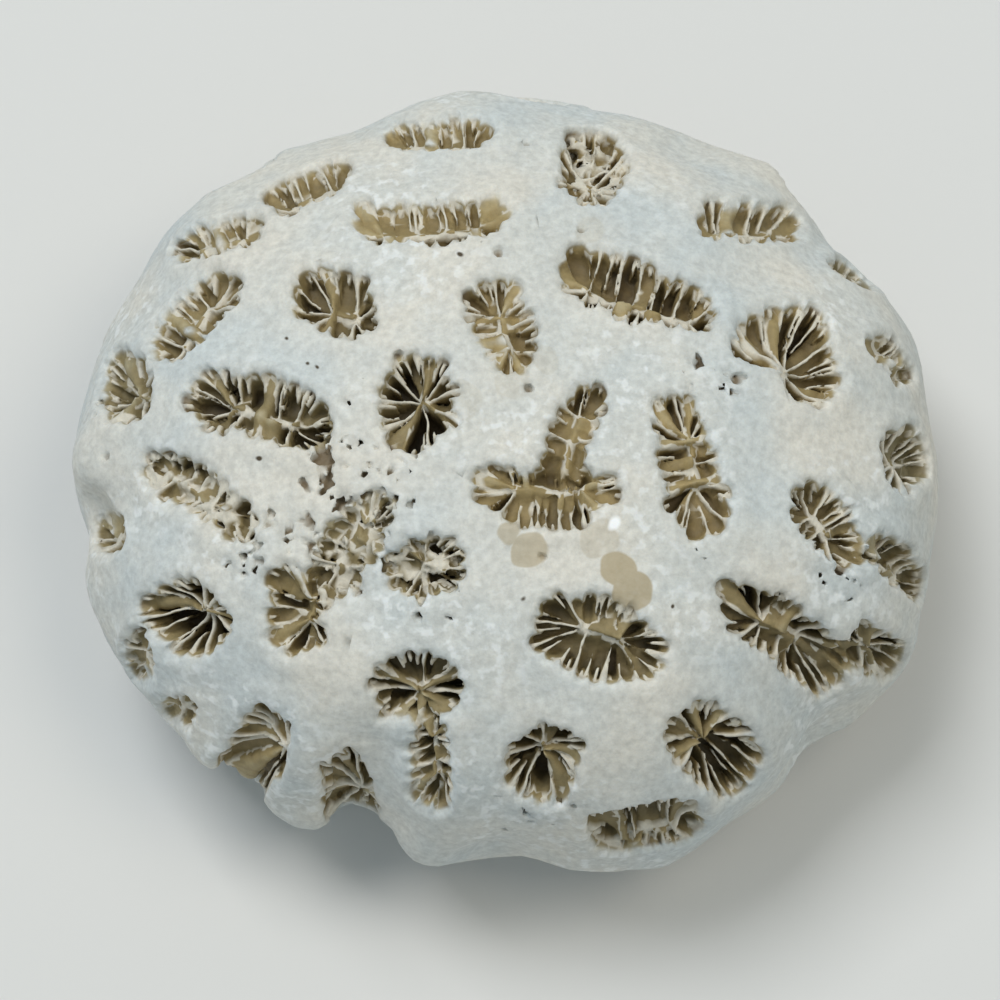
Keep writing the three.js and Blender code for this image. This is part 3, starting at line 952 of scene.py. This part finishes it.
def marks(tree, spot, places, soft, on_skin):
    """A value that is 1 on each of some marks: across, up and reach in mm, then their strength."""
    total = None
    for across, up, reach, *strength in places:
        middle = seen_point(across, up, on_skin) * MM
        gap = add(
            tree, "ShaderNodeVectorMath", {"operation": "DISTANCE", 1: middle}, {0: spot}
        ).outputs["Value"]
        mark = add(
            tree,
            "ShaderNodeMapRange",
            {
                "From Min": (reach + soft) * MM,
                "From Max": (reach - soft) * MM,
                "To Min": 0.0,
                "To Max": (strength or [1.0])[0],
            },
            {"Value": gap},
        ).outputs[0]
        if total is not None:
            mark = add(
                tree, "ShaderNodeMath", {"operation": "MAXIMUM"}, {0: total, 1: mark}
            ).outputs[0]
        total = mark
    return total


def worn_skin(tree, spot, moved, sugar, depth, settings, on_skin):
    """The colour of the skin between the calices, with painted shade down its holes."""
    noise = "ShaderNodeTexNoise"

    # Clouds of warm and cool skin, about 8 mm across
    clouds = add(tree, noise, {"Scale": 1 / (8 * MM), "Detail": 3.0}, {"Vector": spot})
    skin = add(
        tree,
        "ShaderNodeValToRGB",
        {"stops": [(0.36, settings.skin_cool), (0.64, settings.skin_warm)]},
        {"Fac": clouds.outputs["Fac"]},
    )
    skin = add(
        tree,
        "ShaderNodeMix",
        {"data_type": "RGBA", "blend_type": "MULTIPLY", FACTOR: 1.0},
        {COLOUR_A: skin.outputs["Color"], COLOUR_B: sugar},
    )

    # Frosted patches about 11 mm across, where loose white crystals stand proud
    patch = add(tree, noise, {"Scale": 1 / (11 * MM), "Detail": 1.0}, {"Vector": spot})
    patch = add(
        tree,
        "ShaderNodeValToRGB",
        {"stops": [(0.46, (0.0,)), (0.62, (1.0,))]},
        {"Fac": patch.outputs["Fac"]},
    )
    crystals = add(tree, noise, {"Scale": 1 / (0.75 * MM), "Detail": 2.0}, {"Vector": spot})
    crystals = add(
        tree,
        "ShaderNodeValToRGB",
        {"stops": [(0.53, (0.0,)), (0.66, (1.0,))]},
        {"Fac": crystals.outputs["Fac"]},
    )
    frost = add(
        tree,
        "ShaderNodeMath",
        {"operation": "MULTIPLY"},
        {0: patch.outputs["Color"], 1: crystals.outputs["Color"]},
    )
    frost = add(tree, "ShaderNodeMath", {"operation": "MULTIPLY", 1: 0.55}, {0: frost.outputs[0]})
    skin = add(
        tree,
        "ShaderNodeMix",
        {"data_type": "RGBA", COLOUR_B: linear("#F1F3F2")},
        {FACTOR: frost.outputs[0], COLOUR_A: skin.outputs[MIXED]},
    )

    # Flat stains, specks and one clean chip, each with how soft its edge is in mm
    for places, soft, colour in (
        (STAINS, 0.07, settings.stain),
        (SPECKS, 0.05, settings.gap_shade_and_specks),
        ([WHITE_CHIP], 0.08, linear("#FBFCFC")),
    ):
        skin = add(
            tree,
            "ShaderNodeMix",
            {"data_type": "RGBA", COLOUR_B: colour},
            {FACTOR: marks(tree, moved, places, soft, on_skin), COLOUR_A: skin.outputs[MIXED]},
        )

    # Painted shade: holes in the skin darken as they go down
    hole = add(
        tree,
        "ShaderNodeMapRange",
        {"From Min": 0.16, "From Max": 0.42, "To Min": 0.0, "To Max": 0.9},
        {"Value": depth},
    )
    skin = add(
        tree,
        "ShaderNodeMix",
        {"data_type": "RGBA", COLOUR_B: linear("#66522F")},
        {FACTOR: hole.outputs[0], COLOUR_A: skin.outputs[MIXED]},
    )
    return skin.outputs[MIXED]


def calice_lining(tree, spot, sugar, depth, settings):
    """The colour inside the calices: tan or olive stained walls with painted shade that darkens them
    as they go down, and pale edges on the septa."""
    below = add(tree, "ShaderNodeAttribute", {"attribute_name": "below"}).outputs["Fac"]
    tan = add(tree, "ShaderNodeAttribute", {"attribute_name": "tan"}).outputs["Fac"]
    mottle = add(
        tree, "ShaderNodeTexNoise", {"Scale": 1 / (1.6 * MM), "Detail": 2.0}, {"Vector": spot}
    )
    # Painted shade: the stained walls darken with depth, to near black in the deepest gaps
    down = add(tree, "ShaderNodeMath", {"operation": "MULTIPLY", 1: 0.33}, {0: depth})
    down = add(
        tree,
        "ShaderNodeMath",
        {"operation": "MULTIPLY_ADD", 1: 0.36},
        {0: mottle.outputs["Fac"], 2: down.outputs[0]},
    )
    stops = (0.2, 0.36, 0.62, 0.9, 1.0)
    tan_stain_to_shade = (linear("#BBAC85"), settings.gap_tan, linear("#86744C"), linear("#625233"))
    olive_stain_to_shade = (linear("#B1AA90"), settings.gap_olive, linear("#736949"), linear("#554B30"))
    walls = [
        add(
            tree,
            "ShaderNodeValToRGB",
            {"stops": list(zip(stops, (*colours, settings.gap_shade_and_specks)))},
            {"Fac": down.outputs[0]},
        )
        for colours in (olive_stain_to_shade, tan_stain_to_shade)
    ]
    wall = add(
        tree,
        "ShaderNodeMix",
        {"data_type": "RGBA"},
        {FACTOR: tan, COLOUR_A: walls[0].outputs["Color"], COLOUR_B: walls[1].outputs["Color"]},
    )
    crest = add(
        tree,
        "ShaderNodeMapRange",
        {"From Min": 0.42, "From Max": 0.08, "To Min": 0.0, "To Max": 0.92},
        {"Value": below},
    )
    lining = add(
        tree,
        "ShaderNodeMix",
        {"data_type": "RGBA", COLOUR_B: settings.septum_edge},
        {FACTOR: crest.outputs[0], COLOUR_A: wall.outputs[MIXED]},
    )
    lining = add(
        tree,
        "ShaderNodeMix",
        {"data_type": "RGBA", "blend_type": "MULTIPLY", FACTOR: 1.0},
        {COLOUR_A: lining.outputs[MIXED], COLOUR_B: sugar},
    )
    return lining.outputs[MIXED]


def with_cut(tree, spot, moved, colour):
    """Gives the cut underneath its own colour: clean pale skeleton with pores about 0.25 mm wide."""
    height = add(tree, "ShaderNodeSeparateXYZ", {}, {0: spot}).outputs["Z"]
    cut = add(
        tree,
        "ShaderNodeMapRange",
        {"From Min": 0.1 * MM, "From Max": 0.03 * MM, "To Min": 0.0, "To Max": 1.0},
        {"Value": height},
    )
    pores = add(tree, "ShaderNodeTexVoronoi", {"Scale": 1 / (0.5 * MM)}, {"Vector": moved})
    sawn = add(
        tree,
        "ShaderNodeValToRGB",
        {"stops": [(0.2, linear("#A0947A")), (0.5, linear("#D6D0C0"))]},
        {"Fac": pores.outputs["Distance"]},
    )
    colour = add(
        tree,
        "ShaderNodeMix",
        {"data_type": "RGBA"},
        {FACTOR: cut.outputs[0], COLOUR_A: colour, COLOUR_B: sawn.outputs["Color"]},
    )
    return colour.outputs[MIXED]


def fine_relief(tree, spot, grain):
    """Relief too fine for the mesh: dents about 1.4 mm across and the sugary grain."""
    uneven = add(
        tree, "ShaderNodeTexNoise", {"Scale": 1 / (1.4 * MM), "Detail": 1.0}, {"Vector": spot}
    )
    bump = add(
        tree,
        "ShaderNodeBump",
        {"Strength": 0.5, "Distance": 0.16 * MM},
        {"Height": uneven.outputs["Fac"]},
    )
    bump = add(
        tree,
        "ShaderNodeBump",
        {"Strength": 0.4, "Distance": 0.1 * MM},
        {"Height": grain, "Normal": bump.outputs["Normal"]},
    )
    return bump.outputs["Normal"]


def aragonite(settings, on_skin):
    """Aragonite skeleton, grown by the coral and ground smooth by sand and surf: matte, finely
    sugary, off-white with warm and cool clouds, stained tan and olive down in its calices, and with
    painted shade that deepens down its calices and holes."""
    material = bpy.data.materials.new("aragonite_skeleton_surf_worn")
    material.use_nodes = True
    tree = material.node_tree
    tree.nodes.clear()
    noise = "ShaderNodeTexNoise"
    spot = add(tree, "ShaderNodeTexCoord").outputs["Object"]
    depth = add(tree, "ShaderNodeAttribute", {"attribute_name": "depth"}).outputs["Fac"]
    inside = add(tree, "ShaderNodeAttribute", {"attribute_name": "inside"}).outputs["Fac"]

    # Sugary grain of crystals about 0.1 mm across, drawn 0.25 mm wide so that it shows
    grain = add(
        tree,
        noise,
        {"Scale": 1 / (0.5 * MM), "Detail": 3.0, "Roughness": 0.65},
        {"Vector": spot},
    ).outputs["Fac"]
    sugar = add(
        tree, "ShaderNodeValToRGB", {"stops": [(0.32, (0.83,)), (0.68, (1.07,))]}, {"Fac": grain}
    ).outputs["Color"]

    # Places that wander by up to 0.4 mm, for edges that aren't clean circles
    wander = add(tree, noise, {"Scale": 1 / (1.7 * MM), "Detail": 1.0}, {"Vector": spot})
    shift = add(
        tree,
        "ShaderNodeVectorMath",
        {"operation": "MULTIPLY_ADD", 1: (0.8 * MM,) * 3, 2: (-0.4 * MM,) * 3},
        {0: wander.outputs["Color"]},
    )
    moved = add(
        tree, "ShaderNodeVectorMath", {"operation": "ADD"}, {0: spot, 1: shift.outputs[0]}
    ).outputs[0]

    skin = worn_skin(tree, spot, moved, sugar, depth, settings, on_skin)
    lining = calice_lining(tree, spot, sugar, depth, settings)
    colour = add(
        tree,
        "ShaderNodeMix",
        {"data_type": "RGBA"},
        {FACTOR: inside, COLOUR_A: skin, COLOUR_B: lining},
    ).outputs[MIXED]
    colour = with_cut(tree, spot, moved, colour)
    shader = add(
        tree,
        "ShaderNodeBsdfPrincipled",
        {
            "Roughness": 0.7,
            "IOR": 1.53,
            "Subsurface Weight": 0.12,
            "Subsurface Scale": 0.5 * MM,
            "Subsurface Radius": (1.0, 0.8, 0.6),
        },
        {"Base Color": colour, "Normal": fine_relief(tree, spot, grain)},
    )
    add(tree, "ShaderNodeOutputMaterial", links={"Surface": shader.outputs["BSDF"]})
    return material


def floor_paint(settings):
    """Matte emulsion on a smooth board: a plain pale ground that takes a soft shadow."""
    material = bpy.data.materials.new("matte_emulsion_rolled")
    material.use_nodes = True
    tree = material.node_tree
    tree.nodes.clear()
    spot = add(tree, "ShaderNodeTexCoord").outputs["Object"]
    stipple = add(
        tree, "ShaderNodeTexNoise", {"Scale": 1 / (1.5 * MM), "Detail": 2.0}, {"Vector": spot}
    )
    bump = add(
        tree,
        "ShaderNodeBump",
        {"Strength": 0.05, "Distance": 0.1 * MM},
        {"Height": stipple.outputs["Fac"]},
    )
    shader = add(
        tree,
        "ShaderNodeBsdfPrincipled",
        {"Base Color": settings.floor_colour, "Roughness": 0.85},
        {"Normal": bump.outputs["Normal"]},
    )
    add(tree, "ShaderNodeOutputMaterial", links={"Surface": shader.outputs["BSDF"]})
    return material


class CoralSettings(bpy.types.PropertyGroup):
    """Sizes and colours of the coral head."""

    voxel: FloatProperty(
        name="Voxel", description="Step of the lattice it grows on", default=0.1 * MM,
        unit="LENGTH", precision=5,
    )
    septum_spacing: FloatProperty(
        name="Septum spacing", description="Distance between septa at the wall",
        default=1.1 * MM, unit="LENGTH", precision=5,
    )
    septum_thickness: FloatProperty(
        name="Septum thickness", description="Thickness of a main septum", default=0.17 * MM,
        unit="LENGTH", precision=5,
    )
    lip_round: FloatProperty(
        name="Lip rounding", description="How far the lips of the calices are worn round",
        default=0.5 * MM, unit="LENGTH", precision=5,
    )
    lip_height: FloatProperty(
        name="Lip height", description="How far the lips stand above the skin",
        default=0.16 * MM, unit="LENGTH", precision=5,
    )
    triangles: IntProperty(
        name="Triangles", description="Most triangles in the head", default=194000,
    )
    skin_warm: FloatVectorProperty(
        name="Warm skin", description="Skin in the warm clouds", default=linear("#D9D5CA"),
        subtype="COLOR", size=4, min=0, max=1,
    )
    skin_cool: FloatVectorProperty(
        name="Cool skin", description="Skin in the cool clouds", default=linear("#C9CECC"),
        subtype="COLOR", size=4, min=0, max=1,
    )
    septum_edge: FloatVectorProperty(
        name="Septum edges", description="Worn edges of the septa", default=linear("#D8D2C3"),
        subtype="COLOR", size=4, min=0, max=1,
    )
    gap_tan: FloatVectorProperty(
        name="Tan walls", description="Walls of the tan calices", default=linear("#A08C5E"),
        subtype="COLOR", size=4, min=0, max=1,
    )
    gap_olive: FloatVectorProperty(
        name="Olive walls", description="Walls of the olive calices", default=linear("#8A7E5C"),
        subtype="COLOR", size=4, min=0, max=1,
    )
    # Painted shade at the bottom of the deepest gaps, and the own colour of the dark specks
    gap_shade_and_specks: FloatVectorProperty(
        name="Gap shade and specks", description="Painted shade in the deepest gaps, and dark specks", default=linear("#43361E"),
        subtype="COLOR", size=4, min=0, max=1,
    )
    stain: FloatVectorProperty(
        name="Stains", description="Flat stains on the skin", default=linear("#A8966F"),
        subtype="COLOR", size=4, min=0, max=1,
    )


class StageSettings(bpy.types.PropertyGroup):
    """Floor, light and camera."""

    floor_size: FloatProperty(
        name="Floor size", description="Side of the square floor", default=6.0, unit="LENGTH"
    )
    floor_colour: FloatVectorProperty(
        name="Floor", description="Paint of the floor", default=linear("#DAD9D6"),
        subtype="COLOR", size=4, min=0, max=1,
    )
    key_power: FloatProperty(
        name="Key light", description="Power of the main soft light", default=10.0, unit="POWER"
    )
    side_power: FloatProperty(
        name="Side light", description="Power of the warm side light", default=4.0,
        unit="POWER",
    )


class CORAL_OT_head(bpy.types.Operator):
    """Grow the coral head"""

    bl_idname = "coral.head"
    bl_label = "Grow Coral Head"
    bl_options = {"REGISTER", "UNDO"}

    def execute(self, context):
        settings = context.scene.coral
        voxel = settings.voxel / MM * 1
        field, coarse, calices = grow_field(settings, voxel)
        mesh = mesh_of(field, voxel, "coral_head")
        head = bpy.data.objects.new("coral_head", mesh)
        context.scene.collection.objects.link(head)
        thin_out(head, settings.triangles)
        head.data.shade_smooth()
        mark_surface(head.data, coarse, calices, settings)
        head.data.materials.append(aragonite(settings, partial(at_points, coarse)))
        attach(head, "root")
        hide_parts("coral")
        return {"FINISHED"}


class CORAL_OT_stage(bpy.types.Operator):
    """Lay the floor and set the lights and the camera"""

    bl_idname = "coral.stage"
    bl_label = "Set Stage"
    bl_options = {"REGISTER", "UNDO"}

    def execute(self, context):
        settings = context.scene.coral_stage
        side = settings.floor_size / 2
        mesh = bpy.data.meshes.new("floor")
        corners = [(-side, -side, 0), (side, -side, 0), (side, side, 0), (-side, side, 0)]
        mesh.from_pydata(corners, [], [(0, 1, 2, 3)])
        floor = bpy.data.objects.new("floor", mesh)
        context.scene.collection.objects.link(floor)
        mesh.materials.append(floor_paint(settings))

        self.lamp("key", KEY_PLACE, settings.key_power, KEY_COLOUR)
        self.lamp("side", SIDE_PLACE, settings.side_power, SIDE_COLOUR)
        world = bpy.data.worlds.new("soft_room")
        world.use_nodes = True
        sky = world.node_tree.nodes["Background"]
        sky.inputs["Color"].default_value = SKY_COLOUR
        sky.inputs["Strength"].default_value = SKY_STRENGTH
        context.scene.world = world

        lens = bpy.data.cameras.new("camera")
        lens.lens = SENSOR_WIDTH * EYE_DISTANCE / PICTURE_WIDTH
        lens.sensor_width = SENSOR_WIDTH
        lens.clip_start = 0.01
        camera = bpy.data.objects.new("camera", lens)
        camera.location = Vector(EYE * MM)
        camera.rotation_euler = Vector(SIGHT).to_track_quat("-Z", "Y").to_euler()
        context.scene.collection.objects.link(camera)
        context.scene.camera = camera
        context.scene.view_settings.view_transform = "Standard"
        return {"FINISHED"}

    def lamp(self, name, place, power, colour):
        """Hangs a square soft lamp that faces the head."""
        light = bpy.data.lights.new(name, "AREA")
        light.size = LAMP_SIZE
        light.energy = power
        light.color = colour
        lamp = bpy.data.objects.new(name, light)
        lamp.location = place
        aim = Vector(LAMP_AIM) - Vector(place)
        lamp.rotation_euler = aim.to_track_quat("-Z", "Y").to_euler()
        bpy.context.scene.collection.objects.link(lamp)


class CORAL_PT_panel(bpy.types.Panel):
    """Lists the steps and their settings"""

    bl_label = "Brain Coral Head"
    bl_idname = "CORAL_PT_panel"
    bl_space_type = "VIEW_3D"
    bl_region_type = "UI"
    bl_category = "Coral"

    def draw(self, context):
        layout = self.layout
        for group, operator in (
            (context.scene.coral, CORAL_OT_head),
            (context.scene.coral_stage, CORAL_OT_stage),
        ):
            for key in group.__annotations__:
                layout.prop(group, key)
            layout.operator(operator.bl_idname)


CLASSES = (CoralSettings, StageSettings, CORAL_OT_head, CORAL_OT_stage, CORAL_PT_panel)


def register():
    for cls in CLASSES:
        bpy.utils.register_class(cls)
    bpy.types.Scene.coral = PointerProperty(type=CoralSettings)
    bpy.types.Scene.coral_stage = PointerProperty(type=StageSettings)


def unregister():
    del bpy.types.Scene.coral_stage
    del bpy.types.Scene.coral
    for cls in reversed(CLASSES):
        bpy.utils.unregister_class(cls)


def main():
    """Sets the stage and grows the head."""
    register()
    bpy.ops.coral.stage()
    bpy.ops.coral.head()


if __name__ == "__main__":
    main()
